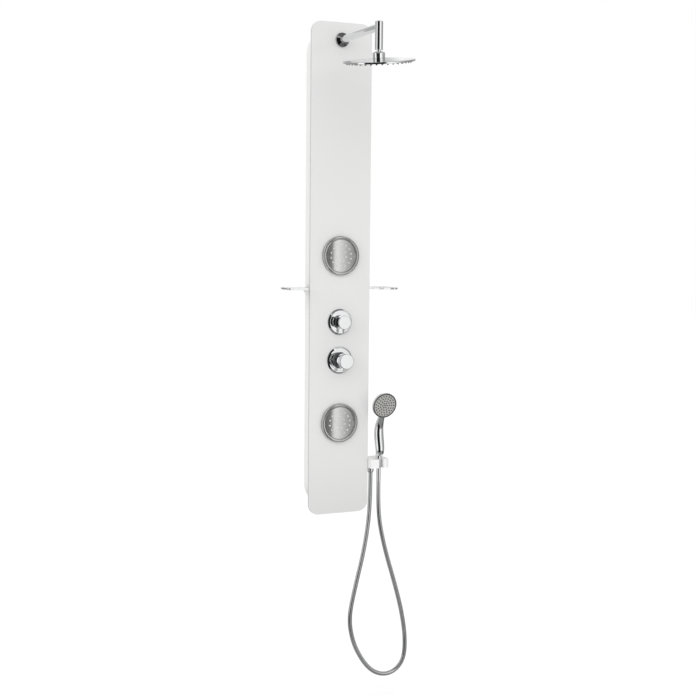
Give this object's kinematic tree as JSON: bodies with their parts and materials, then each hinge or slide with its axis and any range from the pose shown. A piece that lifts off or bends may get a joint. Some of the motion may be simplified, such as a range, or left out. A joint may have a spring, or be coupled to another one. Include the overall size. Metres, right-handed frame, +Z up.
{
  "type": "shower panel column",
  "caption": "Wall-hung white glass shower panel with a rain head on an arm, body jets, diverter and mixer knobs, side shelves and a handset on a metal hose.",
  "frame": {"origin": "on the wall plane at the middle of the four wall screws, which is the centre line of the panel at half the height of its front plate", "axes": "+X to the right as seen by the user, +Y into the wall, +Z up; the panel faces -Y"},
  "size_m": [0.426, 0.4214, 2.0454],
  "materials": {
    "white_glass": "back-painted, polished",
    "clear_glass": "clear, polished edges",
    "white_casing": "white powder coat",
    "adhesive": "matte",
    "zinc_steel": "zinc plated",
    "brass": "as cast and turned",
    "cartridge_plastic": "moulded",
    "jet_plastic": "moulded",
    "copper_pipe": "drawn",
    "chrome_brass": "polished chrome",
    "polished_steel": "polished stainless",
    "satin_steel": "brushed satin",
    "white_silicone": "matte",
    "grey_silicone": "matte",
    "white_plastic": "gloss white",
    "hose_steel": "chrome plated interlock",
    "outlet_brass": "turned",
    "chrome_plastic": "chrome plated ABS",
    "grey_plastic": "satin grey"
  },
  "bodies": {
    "column": {"arm_elbow": "brass", "arm_rosette": "chrome_brass", "ball_stem": "chrome_brass", "bonding_strip": "adhesive", "cross_rails": "zinc_steel", "diverter_body": "brass", "diverter_cartridge": "cartridge_plastic", "diverter_rosette": "chrome_brass", "drop_pipe": "chrome_brass", "front_plate": "white_glass", "handset_bracket": "white_plastic", "hose_outlet_nut": "chrome_brass", "hose_washer": "grey_silicone", "inlet_check_valves": "cartridge_plastic", "inlet_unions": "brass", "jet_bodies": "jet_plastic", "jet_nozzles": "white_silicone", "jet_nuts": "cartridge_plastic", "left_shelf": "clear_glass", "lock_nuts": "brass", "lower_jet_bezel": "chrome_brass", "lower_jet_face": "satin_steel", "mixer_body": "brass", "mixer_cartridge": "cartridge_plastic", "mixer_rosette": "chrome_brass", "outlet_elbow": "outlet_brass", "rear_casing": "white_casing", "right_shelf": "clear_glass", "shelf_clips": "white_plastic", "shower_arm": "chrome_brass", "shower_hose": "hose_steel", "side_screws": "zinc_steel", "upper_jet_bezel": "chrome_brass", "upper_jet_face": "satin_steel", "wall_brackets": "zinc_steel", "water_pipes": "copper_pipe"},
    "ball_seat": {"ball_seat": "cartridge_plastic"},
    "ball_seal": {"ball_seal": "grey_silicone"},
    "rain_head": {"ball_nut": "chrome_brass", "head_shell": "polished_steel", "head_face": "polished_steel", "rain_nozzle_mat": "grey_silicone"},
    "diverter_handle": {"diverter_spindle": "brass", "diverter_knob": "chrome_brass", "diverter_lever": "chrome_brass", "diverter_grub_screw": "zinc_steel"},
    "mixer_swivel": {"mixer_carrier": "cartridge_plastic", "mixer_pivot_pin": "zinc_steel"},
    "mixer_handle": {"mixer_stem": "chrome_brass", "mixer_knob": "chrome_brass", "mixer_lever": "chrome_brass", "mixer_grub_screw": "zinc_steel"},
    "hose_end": {"hose_cone_nut": "chrome_brass", "hose_ferrule": "hose_steel"},
    "handset": {"handset_collar": "chrome_brass", "handset_body": "chrome_plastic", "handset_face": "grey_plastic", "handset_nozzles": "grey_silicone", "handset_trim_ring": "chrome_plastic"}
  },
  "joints": [
    {"name": "head_spin", "type": "hinge", "parent": "column", "child": "ball_seat", "pos_m": [0, -0.321, 0.618], "axis": [0, 0, 1], "continuous": true},
    {"name": "head_tilt_fore_aft", "type": "hinge", "parent": "ball_seat", "child": "ball_seal", "pos_m": [0, -0.321, 0.618], "axis": [1, 0, 0], "range_deg": [-22.5, 3.5]},
    {"name": "head_tilt_sideways", "type": "hinge", "parent": "ball_seal", "child": "rain_head", "pos_m": [0, -0.321, 0.618], "axis": [0, 0.9863, 0.165], "range_deg": [-2.75, 17.25]},
    {"name": "diverter_turn", "type": "hinge", "parent": "column", "child": "diverter_handle", "pos_m": [0, -0.094, -0.1543], "axis": [0, -1, 0], "range_deg": [-90, 90]},
    {"name": "mixer_turn", "type": "hinge", "parent": "column", "child": "mixer_swivel", "pos_m": [0, -0.056, -0.2724], "axis": [0, -1, 0], "range_deg": [-50, 50]},
    {"name": "mixer_lift", "type": "hinge", "parent": "mixer_swivel", "child": "mixer_handle", "pos_m": [0, -0.056, -0.2724], "axis": [-1, 0, 0], "range_deg": [0, 15]},
    {"name": "handset_lift", "type": "slide", "parent": "column", "child": "hose_end", "axis": [0, 0, 1], "range_m": [0, 0.06]},
    {"name": "handset_turn", "type": "hinge", "parent": "hose_end", "child": "handset", "pos_m": [0.136, -0.069, -0.58], "axis": [0, 0, 1], "range_deg": [-35, 60]}
  ]
}
